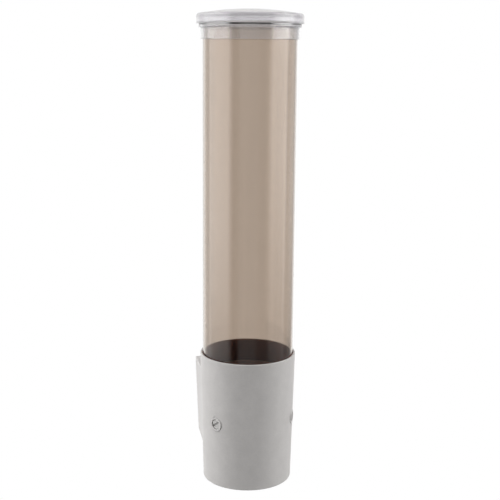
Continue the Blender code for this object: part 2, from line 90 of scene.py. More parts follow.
# Flat back of the collar
BACK_TOP = 0.1092
BACK_BOTTOM = 0.0194
BACK_OFF_WALL = 0.0008
BACK_REACH = WALL_REACH - BACK_OFF_WALL
BACK_UNDER_RIM = 0.0065
BACK_TOP_HALF_WIDTH = COLLAR_RIM_RADIUS - BACK_UNDER_RIM
BACK_TAPER = 0.0036
BACK_CORNER_RADIUS = 0.016
BACK_WALL = 0.002
BACK_ROOT_DEPTH = 0.0005
BACK_EDGE = 0.0009
BACK_LEDGE_DROP = 0.0003        # fall of the ledge towards its outer edge
CORNER_SHARPNESS = 110          # power that rounds the two rear corners
ROOT_BLEND = 0.00025            # fillet where the back meets the round wall
LARGEST_POWER = 600             # keeps exp() in range

# Wall bracket and its pocket
BRACKET_HALF_WIDTH = 0.0215
BRACKET_FLARE = 0.0035
BRACKET_THICKNESS = 0.0035
BRACKET_LEAD_HEIGHT = 0.007
BRACKET_LEAD = 0.004
POCKET_RAIL = 0.0025

# Adjusters
BUSH_FLANGE_RADIUS = 0.007
BUSH_BODY_RADIUS = 0.006
BUSH_SEAT_REACH = 0.04345
BUSH_INNER_REACH = 0.04105
BUSH_FLANGE_THICKNESS = 0.0009
BUSH_EDGE = BUSH_FLANGE_THICKNESS / 2.5
SCREW_RADIUS = 0.0045
SCREW_LENGTH = 0.0036
SCREW_OUTER_REACH = 0.04395
SCREW_EDGE = 0.0003
SCREW_HOLE_RADIUS = 0.0013      # blind hole for the pad's stem
SCREW_HOLE_DEPTH = 0.0015
SLOT_WIDTH = 0.0021
SLOT_DEPTH = 0.0014
SLOT_EDGE = 0.00012
SLOT_SEGMENTS = 2
SLOT_SHARP = math.radians(50)

# Each adjuster's azimuth from the front and its slot's turn, in degrees
STATIONS = {"left": (-60.0, 35.0), "right": (60.0, 90.0), "rear": (180.0, 0.0)}

# Edge radii of the pieces that keep their CAD shape
LINER_EDGE = 0.0003
BRACKET_EDGE = 0.0004
PAD_EDGE = 0.0001
FINGER_EDGE = 0.0002
SPRING_EDGE = 0.00003

# Lid
LID_SKIRT_RADIUS = 0.0452
LID_SKIRT_BOTTOM = LID_BOX[0].z - FOOT_Z
LID_WALL = 0.0015
LID_SEAT = TUBE_TOP + GAP
LID_SEAT_THICKNESS = 0.002      # ledge that rests on the tube
LID_FLOOR = LID_SEAT + LID_SEAT_THICKNESS
LID_BRIM_RADIUS = (LID_BOX[1].x - LID_BOX[0].x) / 2
LID_BRIM_FLOOR_WALL = 0.0012
LID_BRIM_HEIGHT = 0.0065
LID_BRIM_BOTTOM = LID_FLOOR - LID_BRIM_FLOOR_WALL
LID_BRIM_TOP = LID_BRIM_BOTTOM + LID_BRIM_HEIGHT
LID_TOP = LID_BOX[1].z - FOOT_Z
LID_EDGE = 0.0006
LID_SHOULDER = 0.003            # radius that rounds the brim's top
LID_SHOULDER_TURN = math.radians(60)
LID_LIP_RADIUS = 0.0471         # narrow step under the brim
LID_LIP_HEIGHT = 0.0035
LID_SHADOW_LINE_HEIGHT = 0.0013        # thin line of painted shadow between the brim and the step

# Facets and shading
ROUND_STEPS = 192
SMALL_STEPS = 64
ARC_STEPS = 5
CORNER_STEPS = 15               # in a rounded lower corner of the back
STRAIGHT_STEPS = 8              # up the back's sides
CAVITY_CORNER_STEPS = 20
CAVITY_ARC_STEPS = 6
DOME_STEPS = 16
COARSE_COLUMN = math.radians(2.5)
FINE_COLUMN = math.radians(0.5)
FINE_COLUMNS_START = math.radians(47.5)         # where the rear corners lie, from the X axis
FINE_COLUMNS_END = math.radians(72.5)
SHARP_ANGLE = math.radians(38)  # between faces that are shaded apart
EDGE_SHARP = math.radians(35)   # from which an edge is softened
EDGE_SEGMENTS = 3

# Camera: the photograph's view, for an image 500 pixels wide
VIEW_AZIMUTH = math.radians(-17.5)
CAMERA_REACH = 0.935
CAMERA_HEIGHT = 0.4094          # above the collar's foot
CAMERA_PITCH = math.radians(11.1)
CAMERA_ROLL = math.radians(0.46)
CAMERA_YAW = math.radians(-0.088)
LENS = 72.0
SENSOR = 36.0

# Textures: noise scales per metre, and the spans of noise values that they use
NOISE_ROUGHNESS = 0.55
SPAN = (0.3, 0.7)
NARROW_SPAN = (0.35, 0.65)
CLOUD_SCALE = 90.0
SPECK_SCALE = 700.0
GLOSS_SCALE = 45.0
GLOSS_SPREAD = 0.05
GRAIN_SCALE = 1500.0
GRAIN_STRENGTH = 0.35
GRAIN_HEIGHT = 0.00002
DRAW_LINE_SCALE = 260.0         # lines along the extruded tube
DRAW_LINE_STRETCH = (1, 1, 0.004)
SCUFF_SCALE = 120.0
SCUFF_SPREAD = 0.3              # share of the roughness
WIRE_SHADE_SCALE = 900.0
WIRE_GLOSS_SCALE = 2500.0
WIRE_SHADES = (0.9, 1.05)       # shares of the colour
WIRE_GLOSSES = (0.8, 1.3)       # shares of the roughness
FLOOR_CLOUD_SCALE = 6.0

# Opaque plastics: colour, roughness, mottle and index of refraction. The bore's colour is painted shade
# inside the collar behind the smoke tube. The tube's ends and the lid's line are painted shade too, and the
# line is glossy enough to mirror the panels beside it.
PLASTICS = {
    "light_grey_plastic": ((0.5, 0.485, 0.475), 0.5, 0.04, 1.5),
    "bore_painted_shade": ((0.5, 0.25, 0.22), 0.5, 0.04, 1.5),
    "bush_plastic": ((0.5, 0.485, 0.475), 0.45, 0.02, 1.5),
    "bracket_plastic": ((0.5, 0.5, 0.49), 0.55, 0.04, 1.5),
    "liner_plastic": ((0.2, 0.125, 0.115), 0.5, 0.04, 1.5),
    "finger_plastic": ((0.12, 0.11, 0.105), 0.45, 0.04, 1.5),
    "screw_plastic": ((0.48, 0.47, 0.46), 0.45, 0.02, 1.5),
    "pad_plastic": ((0.75, 0.74, 0.7), 0.4, 0.02, 1.5),
    "tube_end_painted_shade": ((0.06, 0.045, 0.036), 0.6, 0.04, 1.5),
    "brim_painted_shadow": ((0.02, 0.016, 0.013), 0.12, 0.04, 2.8)}

# Clear plastics: colour, roughness, transmission, index of refraction and strength of the drawn lines
CLEAR_PLASTICS = {
    "smoke_plastic": ((0.655, 0.583, 0.518), 0.03, 1.0, 1.49, 0.02),
    "clear_plastic": ((0.98, 0.975, 0.985), 0.05, 0.9, 1.57, 0.0),
    "milky_plastic": ((0.985, 0.972, 0.995), 0.08, 0.74, 1.57, 0.0)}
STEEL_COLOUR = (0.62, 0.61, 0.6)
STEEL_ROUGHNESS = 0.28

# Studio. A pair of sines of elevation says where a panel is dark and from where it is full. Each row starts
# at its pair, and a panel is its bearing from the camera's side, half width and softness, all in degrees,
# and its strength.
PANELS = [
    ((-0.42, -0.14), [(-80, 30, 12, 2.2)]),
    ((-0.42, -0.02), [(77, 23, 10, 2.1)]),
    ((-0.7, -0.3), [(-128, 18, 8, 0.85)]),
    ((-0.42, -0.1), [(118, 20, 8, 0.8)]),
    ((0.06, 0.2), [(180, 60, 15, 0.22)]),
    ((0.03, 0.2), [(-92, 24, 12, 1.25)]),
    ((-0.03, 0.08), [(90, 20, 10, 1.4)]),
    ((-1.0, -0.6), [(-2, 22, 6, 0.34), (35, 12, 7, 0.17), (180, 40, 8, 0.5)])]
PANEL_TOP = (0.85, 0.65)
LOW_WALL = (180, 30, 10, 0.5)   # behind the dispenser, from below up to its own pair
LOW_WALL_TOP = (0.2, 0.08)
TOP_PANEL = (0.6, 0.85)
TOP_STRENGTH = 1.05
ROOM_STRENGTH = 0.05            # between the panels
FLOOR_DROP = 0.75               # below the collar's foot
FLOOR_RADIUS = 0.7
FLOOR_THICKNESS = 0.02
FLOOR_COLOUR = (0.5, 0.5, 0.5)
FLOOR_ROUGHNESS = 0.8
FLOOR_MOTTLE = 0.03
FLOOR_GLOW = 0.85

materials = {}                  # by name, made at the end


def unit(angle):
    """Horizontal direction at an angle from +X towards +Y."""
    return Vector((math.cos(angle), math.sin(angle)))


def rounded(corners):
    """Closed outline from (radius, height, round) corners, with an arc in place of each rounded one."""
    points = []
    count = len(corners)
    for i, (x, y, size) in enumerate(corners):
        corner = Vector((x, y))
        if not size:
            points.append(corner)
            continue
        back = (Vector(corners[i - 1][:2]) - corner).normalized()
        ahead = (Vector(corners[(i + 1) % count][:2]) - corner).normalized()
        half = back.angle(ahead) / 2
        centre = corner + (back + ahead).normalized() * (size / math.sin(half))
        start = corner + back * (size / math.tan(half)) - centre
        end = corner + ahead * (size / math.tan(half)) - centre
        turn = math.atan2(start.cross(end), start.dot(end))
        for step in range(ARC_STEPS + 1):
            points.append(centre + Matrix.Rotation(turn * step / ARC_STEPS, 2) @ start)
    return points


def solid_from_rings(name, rings, closed):
    """Mesh through rings of equal length, closed from the last to the first, or else with end faces."""
    bm = bmesh.new()
    loops = []
    for ring in rings:
        on_axis = all(Vector(point[:2]).length == 0 for point in ring)
        if on_axis:
            loops.append([bm.verts.new(ring[0])] * len(ring))
        else:
            loops.append([bm.verts.new(point) for point in ring])
    pairs = list(zip(loops, loops[1:]))
    if closed:
        pairs.append((loops[-1], loops[0]))
    count = len(rings[0])
    for lower, upper in pairs:
        for i in range(count):
            j = (i + 1) % count
            corners = list(dict.fromkeys((lower[i], lower[j], upper[j], upper[i])))
            if len(corners) > 2:
                bm.faces.new(corners)
    if not closed:
        bm.faces.new(loops[0][::-1])
        bm.faces.new(loops[-1])
    bmesh.ops.recalc_face_normals(bm, faces=bm.faces)
    mesh = bpy.data.meshes.new(name)
    bm.to_mesh(mesh)
    bm.free()
    return mesh


def turned(name, outline, steps=ROUND_STEPS):
    """Solid turned about Z from a closed outline of (radius, height) points."""
    rings = []
    for radius, height in outline:
        ring = []
        for i in range(steps):
            across = unit(math.tau * i / steps) * radius
            ring.append((across.x, across.y, height))
        rings.append(ring)
    return solid_from_rings(name, rings, closed=True)


def block(name, low, high):
    """Box between two opposite corners, as a cutter."""
    outline = [(low[0], low[1]), (high[0], low[1]), (high[0], high[1]), (low[0], high[1])]
    ends = [[(x, y, z) for x, y in outline] for z in (low[2], high[2])]
    return solid_from_rings(name, ends, closed=False)


def axis_place(azimuth=0.0, height=0.0, reach=0.0, tilt=0.0):
    """Place at an azimuth from the front, a height and a reach from the axis, with +Z tilted outwards."""
    turn = Matrix.Rotation(math.radians(azimuth), 4, "Z")
    origin = Matrix.Translation((0, AXIS_Y, FOOT_Z + height))
    return origin @ turn @ Matrix.Translation((0, -reach, 0)) @ Matrix.Rotation(math.radians(tilt), 4, "X")


def add(name, mesh, place=None):
    """Object whose mesh is moved to its place, so that it sits at the frame's origin like the CAD's nodes."""
    mesh.transform(axis_place() if place is None else place)
    obj = bpy.data.objects.new(name, mesh)
    bpy.context.scene.collection.objects.link(obj)
    return obj


def cut(obj, cutters):
    """Cut several objects out of one, and remove them."""
    for cutter in cutters:
        modifier = obj.modifiers.new(cutter.name, "BOOLEAN")
        modifier.operation = "DIFFERENCE"
        modifier.solver = "MANIFOLD"
        modifier.object = cutter
    settle(obj)
    for cutter in cutters:
        mesh = cutter.data
        bpy.data.objects.remove(cutter)
        bpy.data.meshes.remove(mesh)


def settle(obj):
    """Replace an object's mesh by what its modifiers make of it."""
    graph = bpy.context.evaluated_depsgraph_get()
    mesh = bpy.data.meshes.new_from_object(obj.evaluated_get(graph))
    obj.modifiers.clear()
    obj.data = mesh


def soften_edges(obj, width, segments=EDGE_SEGMENTS, angle=EDGE_SHARP):
    """Round an object's sharp edges."""
    bevel = obj.modifiers.new("edges", "BEVEL")
    bevel.width = width
    bevel.segments = segments
    bevel.limit_method = "ANGLE"
    bevel.angle_limit = angle
    bevel.use_clamp_overlap = True
    settle(obj)


def finish_piece(obj, body, slot, node, extras=()):
    """Give a piece its shading and materials, and tie it to the frame in place of a node.

    The normals are weighted by area, so that long faces keep their own beside the small rounded edges.
    """
    obj.data.shade_smooth()
    obj.data.set_sharp_from_angle(angle=SHARP_ANGLE)
    flatten = obj.modifiers.new("normals", "WEIGHTED_NORMAL")
    flatten.keep_sharp = True
    settle(obj)
    obj.data.materials.clear()
    for name in (slot, *extras):
        obj.data.materials.append(materials[name])
    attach(obj, body)
    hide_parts(node)


def from_axis(face):
    """Level vector from the tube's axis to a face's middle."""
    return face.center.to_2d() - Vector((0, AXIS_Y))


# Materials

def new_material(name):
    """Material with its node tree and its shader."""
    mat = bpy.data.materials.new(name)
    mat.use_nodes = True
    tree = mat.node_tree
    return mat, tree, tree.nodes["Principled BSDF"]


def noise(tree, scale, detail=3.0, stretch=(1, 1, 1)):
    """Noise in the object's own space, in metres, stretched along its axes."""
    coordinates = tree.nodes.new("ShaderNodeTexCoord")
    mapping = tree.nodes.new("ShaderNodeMapping")
    mapping.inputs["Scale"].default_value = stretch
    texture = tree.nodes.new("ShaderNodeTexNoise")
    texture.inputs["Scale"].default_value = scale
    texture.inputs["Detail"].default_value = detail
    texture.inputs["Roughness"].default_value = NOISE_ROUGHNESS
    tree.links.new(coordinates.outputs["Object"], mapping.inputs["Vector"])
    tree.links.new(mapping.outputs["Vector"], texture.inputs["Vector"])
    return texture.outputs["Fac"]


def spread(tree, value, low, high, span=(0, 1)):
    """Map a value from a span to low-high, clamped."""
    node = tree.nodes.new("ShaderNodeMapRange")
    node.inputs["From Min"].default_value = span[0]
    node.inputs["From Max"].default_value = span[1]
    node.inputs["To Min"].default_value = low
    node.inputs["To Max"].default_value = high
    tree.links.new(value, node.inputs["Value"])
    return node.outputs["Result"]


def tint(tree, colour, value):
    """Colour scaled by a value."""
    node = tree.nodes.new("ShaderNodeVectorMath")
    node.operation = "SCALE"
    node.inputs[0].default_value = colour
    tree.links.new(value, node.inputs["Scale"])
    return node.outputs["Vector"]


def math_node(tree, operation, first, second):
    """Maths on two sockets or numbers."""
    node = tree.nodes.new("ShaderNodeMath")
    node.operation = operation
    for socket, value in zip(node.inputs, (first, second)):
        if isinstance(value, bpy.types.NodeSocket):
            tree.links.new(value, socket)
        else:
            socket.default_value = value
    return node.outputs["Value"]


def moulded_plastic(name, colour, roughness, mottle, ior):
    """Opaque plastic with a cloudy colour, a fine moulded grain and patches that are a little glossier."""
    mat, tree, shader = new_material(name)
    shader.inputs["IOR"].default_value = ior
    cloud = spread(tree, noise(tree, CLOUD_SCALE, detail=4.0), 1 - mottle, 1 + mottle, SPAN)
    speck = spread(tree, noise(tree, SPECK_SCALE, detail=2.0), 1 - mottle / 2, 1 + mottle / 2, NARROW_SPAN)
    tree.links.new(tint(tree, colour, math_node(tree, "MULTIPLY", cloud, speck)), shader.inputs["Base Color"])
    gloss = spread(tree, noise(tree, GLOSS_SCALE), roughness - GLOSS_SPREAD, roughness + GLOSS_SPREAD, SPAN)
    tree.links.new(gloss, shader.inputs["Roughness"])
    bump = tree.nodes.new("ShaderNodeBump")
    bump.inputs["Strength"].default_value = GRAIN_STRENGTH
    bump.inputs["Distance"].default_value = GRAIN_HEIGHT
    tree.links.new(noise(tree, GRAIN_SCALE, detail=2.0), bump.inputs["Height"])
    tree.links.new(bump.outputs["Normal"], shader.inputs["Normal"])
    return mat


def clear_moulding(name, colour, roughness, transmission, ior, streak):
    """Transparent plastic with fine scuffs, and faint lines along Z where it was extruded."""
    mat, tree, shader = new_material(name)
    shader.inputs["Transmission Weight"].default_value = transmission
    shader.inputs["IOR"].default_value = ior
    if streak:
        lines = noise(tree, DRAW_LINE_SCALE, detail=2.0, stretch=DRAW_LINE_STRETCH)
        shade = spread(tree, lines, 1 - streak, 1, NARROW_SPAN)
        tree.links.new(tint(tree, colour, shade), shader.inputs["Base Color"])
    else:
        shader.inputs["Base Color"].default_value = (*colour, 1)
    smooth = roughness * (1 - SCUFF_SPREAD)
    scuffed = roughness * (1 + SCUFF_SPREAD)
    scuffs = noise(tree, SCUFF_SCALE, detail=5.0)
    tree.links.new(spread(tree, scuffs, smooth, scuffed, SPAN), shader.inputs["Roughness"])
    return mat


def bright_steel(name, colour, roughness):
    """Wire with slightly uneven colour and gloss."""
    mat, tree, shader = new_material(name)
    shader.inputs["Metallic"].default_value = 1.0
    shade = spread(tree, noise(tree, WIRE_SHADE_SCALE), *WIRE_SHADES, SPAN)
    tree.links.new(tint(tree, colour, shade), shader.inputs["Base Color"])
    low, high = (roughness * share for share in WIRE_GLOSSES)
    gloss = spread(tree, noise(tree, WIRE_GLOSS_SCALE), low, high, SPAN)
    tree.links.new(gloss, shader.inputs["Roughness"])
    return mat


# Collar

def collar_outside(height):
    """Radius of the collar's tapered wall."""
    return COLLAR_FOOT_RADIUS + (COLLAR_RIM_RADIUS - COLLAR_FOOT_RADIUS) * height / COLLAR_HEIGHT


def collar_inside(height):
    """Radius inside that wall."""
    return collar_outside(height) - COLLAR_WALL


def back_side(height, shift):
    """Side face of the flat back: the angle of its outward normal and its distance from the axis."""
    drop = (BACK_TOP - height) / (BACK_TOP - BACK_BOTTOM)
    half_width = BACK_TOP_HALF_WIDTH - BACK_TAPER * drop
    root = collar_outside(height) - BACK_ROOT_DEPTH
    normal = math.atan2(BACK_REACH, half_width) - math.acos(root / math.hypot(half_width, BACK_REACH))
    return normal, root - shift


def with_back(angle, height, shift, inset):
    """Distance from the axis to the collar's surface at an angle, round wall and flat back together."""
    wall = collar_outside(height)
    if math.sin(angle) <= 0:
        return wall
    normal, reach = back_side(height, shift + inset)
    lean = math.acos(abs(math.cos(angle))) - normal
    to_side = max(math.cos(lean), 0) / reach
    to_rear = math.sin(angle) / (BACK_REACH - inset)
    back = (to_side ** CORNER_SHARPNESS + to_rear ** CORNER_SHARPNESS) ** (-1 / CORNER_SHARPNESS)
    difference = (back - wall) / ROOT_BLEND
    return wall + ROOT_BLEND * math.log1p(math.exp(min(difference, LARGEST_POWER)))


def column_angles():
    """Angles of the collar's columns, closer together where the rear corners lie."""
    angles = []
    angle = 0.0
    while angle < math.tau - FINE_COLUMN / 2:
        angles.append(angle)
        folded = math.acos(abs(math.cos(angle + FINE_COLUMN / 2)))
        near_corner = angle < math.pi and FINE_COLUMNS_START < folded < FINE_COLUMNS_END
        angle += FINE_COLUMN if near_corner else COARSE_COLUMN
    return angles


def collar_shell_mesh():
    """Round wall, foot, rim, inner shelf and flat back as one closed skin."""
    angles = column_angles()

    def ring(height, radius):
        return [(*(unit(angle) * radius(angle, height)), height) for angle in angles]

    def wall_only(inset):
        return lambda angle, height: collar_outside(height) - inset

    def back_with(shift, inset):
        return lambda angle, height: with_back(angle, height, shift, inset)

    rings = []
    for i in range(ARC_STEPS + 1):
        turn = math.pi / 2 * i / ARC_STEPS
        rings.append(ring(FOOT_ROUND * (1 - math.cos(turn)), wall_only(FOOT_ROUND * (1 - math.sin(turn)))))
    rings.append(ring(BACK_BOTTOM - BACK_LEDGE_DROP, wall_only(0)))
    for i in range(CORNER_STEPS + 1):
        turn = math.pi / 2 * i / CORNER_STEPS
        shift = BACK_CORNER_RADIUS * (1 - math.sin(turn))
        rise = BACK_CORNER_RADIUS * (1 - math.cos(turn))
        rings.append(ring(BACK_BOTTOM + rise, back_with(shift, 0)))
    edge_start = BACK_TOP - BACK_EDGE
    straight_start = BACK_BOTTOM + BACK_CORNER_RADIUS
    for i in range(1, STRAIGHT_STEPS):
        height = straight_start + (edge_start - straight_start) * i / STRAIGHT_STEPS
        rings.append(ring(height, back_with(0, 0)))
    for i in range(ARC_STEPS + 1):
        turn = math.pi / 2 * i / ARC_STEPS
        height = edge_start + BACK_EDGE * math.sin(turn)
        rings.append(ring(height, back_with(0, BACK_EDGE * (1 - math.cos(turn)))))
    rings.append(ring(BACK_TOP + BACK_LEDGE_DROP, wall_only(0)))
    for i in range(ARC_STEPS + 1):
        turn = math.pi / 2 * i / ARC_STEPS
        height = COLLAR_HEIGHT - RIM_ROUND * (1 - math.sin(turn))
        rings.append(ring(height, wall_only(RIM_ROUND * (1 - math.cos(turn)))))

    socket = TUBE_RADIUS + GAP
    shelf_bottom = SHELF_TOP - SHELF_THICKNESS
    shelf_radius = collar_inside(SHELF_TOP) - SHELF_WIDTH
    foot_inside = collar_inside(0)
    inner = rounded([
        (socket, COLLAR_HEIGHT, RIM_ROUND), (socket, SOCKET_FLOOR, 0),
        (collar_inside(SOCKET_FLOOR), SOCKET_FLOOR, 0), (collar_inside(SHELF_TOP), SHELF_TOP, 0),
        (shelf_radius, SHELF_TOP, RIM_ROUND / 2), (shelf_radius, shelf_bottom, RIM_ROUND / 2),
        (collar_inside(shelf_bottom), shelf_bottom - SHELF_WIDTH, 0),
        (foot_inside, 0, RIM_ROUND), (COLLAR_FOOT_RADIUS, 0, 0), (COLLAR_RIM_RADIUS, COLLAR_HEIGHT, 0)])
    for radius, height in inner[:-2]:
        rings.append([(*(unit(angle) * radius), height) for angle in angles])
    return solid_from_rings("collar_moulding", rings, closed=True)


def dovetail_mesh(name, low, high, clearance, wall):
    """Plate that is wider at its front than at its back, with a narrower lead-in at the top."""
    front = WALL_REACH - BRACKET_THICKNESS - clearance
    depth_share = (wall - front) / (WALL_REACH - front)

    def ring(height, narrower):
        near = BRACKET_HALF_WIDTH + clearance - narrower
        far = near - BRACKET_FLARE * depth_share
        return [(near, front, height), (far, wall, height), (-far, wall, height), (-near, front, height)]

    heights = [ring(low, 0), ring(high - BRACKET_LEAD_HEIGHT, 0), ring(high, BRACKET_LEAD)]
    return solid_from_rings(name, heights, closed=False)


def back_cavity_mesh(side):
    """Cutter for the hollow on one side of the bracket's pocket, open to the wall."""
    rail = BRACKET_HALF_WIDTH + GAP + POCKET_RAIL
    rear = WALL_REACH + OVERRUN
    round_in = BACK_CORNER_RADIUS - BACK_WALL
    bottom = BACK_BOTTOM + BACK_WALL
    top = BACK_TOP - BACK_WALL

    def ring(height, shift):
        wall = collar_outside(height)
        normal, reach = back_side(height, shift + BACK_WALL)
        side_start = normal + math.acos(reach / wall)
        rail_start = math.acos(rail / wall)
        points = []
        for i in range(CAVITY_ARC_STEPS + 1):
            points.append(unit(rail_start + (side_start - rail_start) * i / CAVITY_ARC_STEPS) * wall)
        across = unit(normal)
        points.append(Vector(((reach - across.y * rear) / across.x, rear)))
        points.append(Vector((rail, rear)))
        return [(side * x, y, height) for x, y in points]

    rings = []
    for i in range(CAVITY_CORNER_STEPS + 1):
        turn = math.pi / 2 * i / CAVITY_CORNER_STEPS
        shift = round_in * (1 - math.sin(turn))
        height = bottom + round_in * (1 - math.cos(turn))
        normal, reach = back_side(height, shift + BACK_WALL)
        across = unit(normal)
        corner_x = (reach - across.y * BACK_REACH) / across.x
        if corner_x > rail + BACK_WALL:
            rings.append(ring(height, shift))
    rings.append(ring(top, 0))
    return solid_from_rings("back_cavity", rings, closed=False)


def make_collar():
    """Collar with its pocket for the bracket, its hollow back, three bush holes and gaps for the fingers."""
    collar = add("collar_moulding", collar_shell_mesh())
    inner = BUSH_INNER_REACH - OVERRUN
    outer = WALL_REACH + OVERRUN
    pocket_top = BRACKET_BOX[1].z - FOOT_Z + GAP
    cutters = [add("pocket", dovetail_mesh("pocket", -OVERRUN, pocket_top, GAP, outer))]
    cutters += [add("cavity", back_cavity_mesh(side)) for side in (-1, 1)]
    spot_radius = BUSH_FLANGE_RADIUS + GAP
    hole_radius = BUSH_BODY_RADIUS + GAP
    room_reach = BUSH_INNER_REACH + GAP
    room_bottom = SHELF_TOP - SHELF_THICKNESS - SHELF_WIDTH - GAP
    for azimuth, _ in STATIONS.values():
        place = axis_place(azimuth, ADJUSTER_HEIGHT, 0, 90)
        outline = [(0, inner), (hole_radius, inner), (hole_radius, BUSH_SEAT_REACH),
                   (spot_radius, BUSH_SEAT_REACH), (spot_radius, outer), (0, outer)]
        cutters.append(add("bush_hole", turned("bush_hole", outline, SMALL_STEPS), place))
        room = block("finger_room", (-FINGER_ROOM_HALF_WIDTH, -room_reach, room_bottom),
                     (FINGER_ROOM_HALF_WIDTH, OVERRUN - room_reach, SHELF_TOP + GAP))
        cutters.append(add("finger_room", room, axis_place(azimuth)))
    cut(collar, cutters)
    finish_piece(collar, "dispenser", "light_grey_plastic", "throat_collar", ["bore_painted_shade"])
    # Painted shade: the bore's faces above the shelf take a darker colour in place of the shade inside the
    # collar.
    bore_painted_shade = collar.data.materials.find(materials["bore_painted_shade"].name)
    for face in collar.data.polygons:
        across = from_axis(face)
        in_bore = across.length < TUBE_RADIUS + 2 * GAP and across.dot(face.normal.to_2d()) < 0
        if in_bore and face.center.z > FOOT_Z + SHELF_TOP:
            face.material_index = bore_painted_shade


# Tube and lid

def make_tube():
    """Tube, with painted shade on its sawn ends and on a narrow band below its top edge."""
    inside = TUBE_RADIUS - TUBE_WALL
    outline = rounded([
        (inside, TUBE_FOOT, TUBE_EDGE), (TUBE_RADIUS, TUBE_FOOT, TUBE_EDGE),
        (TUBE_RADIUS, TUBE_TOP - TUBE_END_SHADE, 0),
        (TUBE_RADIUS, TUBE_TOP, TUBE_EDGE), (inside, TUBE_TOP, TUBE_EDGE),
        (inside, TUBE_TOP - TUBE_END_SHADE, 0)])
    tube = add("smoke_tube", turned("smoke_tube", outline))
    finish_piece(tube, "dispenser", "smoke_plastic", "cup_tube", ["tube_end_painted_shade"])
    tube_end_painted_shade = tube.data.materials.find(materials["tube_end_painted_shade"].name)
    # Painted shade: the ends and the band below the top edge take a near-black colour in place of the shade
    # under the lid.
    for face in tube.data.polygons:
        if abs(face.normal.z) > TUBE_END_SLOPE or face.center.z > FOOT_Z + TUBE_TOP - TUBE_END_SHADE:
            face.material_index = tube_end_painted_shade


def dome(rim_radius, rim_height, top_height):
    """Shallow arc from a rim up to the axis, as (radius, height) points."""
    rise = top_height - rim_height
    radius = (rim_radius ** 2 + rise ** 2) / (2 * rise)
    points = []
    for i in range(DOME_STEPS + 1):
        x = rim_radius * (1 - i / DOME_STEPS)
        points.append(Vector((x, top_height - radius + math.sqrt(radius ** 2 - x ** 2))))
    return points


def lid_outline():
    """Lid from the skirt's lower edge up its outside to the dome's top, and back down its inside."""
    inside = TUBE_RADIUS + GAP
    brim_inside = LID_BRIM_RADIUS - LID_WALL
    shoulder_radius = LID_BRIM_RADIUS - LID_SHOULDER
    outer = rounded([
        (inside, LID_SKIRT_BOTTOM, LID_EDGE / 2), (LID_SKIRT_RADIUS, LID_SKIRT_BOTTOM, LID_EDGE),
        (LID_SKIRT_RADIUS, LID_BRIM_BOTTOM - LID_LIP_HEIGHT, LID_EDGE),
        (LID_LIP_RADIUS, LID_BRIM_BOTTOM - LID_LIP_HEIGHT, 2 * LID_EDGE),
        (LID_LIP_RADIUS, LID_BRIM_BOTTOM - LID_SHADOW_LINE_HEIGHT, 0),
        (LID_LIP_RADIUS, LID_BRIM_BOTTOM, 0), (LID_BRIM_RADIUS, LID_BRIM_BOTTOM, LID_EDGE),
        (LID_BRIM_RADIUS, LID_TOP, 0), (inside, LID_TOP, 0)])[:-2]
    shoulder_steps = 2 * ARC_STEPS
    for i in range(shoulder_steps + 1):
        turn = LID_SHOULDER_TURN * i / shoulder_steps
        outer.append(Vector((shoulder_radius, LID_BRIM_TOP)) + unit(turn) * LID_SHOULDER)
    outer += dome(outer[-1].x, outer[-1].y, LID_TOP)[1:]
    inner = dome(shoulder_radius - LID_WALL, LID_BRIM_TOP, LID_TOP - LID_WALL)[::-1]
    ledge_inside = TUBE_RADIUS - TUBE_WALL
    lower = rounded([
        (shoulder_radius - LID_WALL, LID_BRIM_TOP, 0), (brim_inside, LID_BRIM_TOP - LID_WALL, LID_EDGE),
        (brim_inside, LID_FLOOR, LID_EDGE), (ledge_inside, LID_FLOOR, LID_EDGE),
        (ledge_inside, LID_SEAT, LID_EDGE), (inside, LID_SEAT, 0)])[1:]
    return outer + inner + lower


def make_lid():
    """Lid with a clear skirt, a milkier top and a thin line of painted shadow under its brim."""
    lid = add("lid_moulding", turned("lid_moulding", lid_outline()))
    finish_piece(lid, "dust_cap", "clear_plastic", "dust_cap", ["milky_plastic", "brim_painted_shadow"])
    milky = lid.data.materials.find(materials["milky_plastic"].name)
    brim_painted_shadow = lid.data.materials.find(materials["brim_painted_shadow"].name)
    for face in lid.data.polygons:
        drop = FOOT_Z + LID_BRIM_BOTTOM - face.center.z
        on_lip = abs(from_axis(face).length - LID_LIP_RADIUS) < GAP
        # Painted shadow: a narrow band of the lip just under the brim is near-black, in place of the shadow
        # gap there.
        if on_lip and 0 < drop < LID_SHADOW_LINE_HEIGHT:
            face.material_index = brim_painted_shadow
        elif drop < LID_LIP_HEIGHT:
            face.material_index = milky


# Adjusters

def make_bush(name, azimuth):
    """Flanged bush in the collar's wall, with a plain bore in place of its thread."""
    seat = BUSH_SEAT_REACH + GAP - BUSH_INNER_REACH
    face = seat + BUSH_FLANGE_THICKNESS
    bore = SCREW_RADIUS + GAP
    outline = rounded([
        (bore, 0, 0), (BUSH_BODY_RADIUS, 0, BUSH_EDGE / 2), (BUSH_BODY_RADIUS, seat, 0),
        (BUSH_FLANGE_RADIUS, seat, 0), (BUSH_FLANGE_RADIUS, face, BUSH_EDGE), (bore, face, BUSH_EDGE / 2)])
    place = axis_place(azimuth, ADJUSTER_HEIGHT, BUSH_INNER_REACH, 90)
    bush = add("bush_" + name, turned("bush_" + name, outline, SMALL_STEPS), place)
    finish_piece(bush, "dispenser", "bush_plastic", "adjuster_bush_" + name)


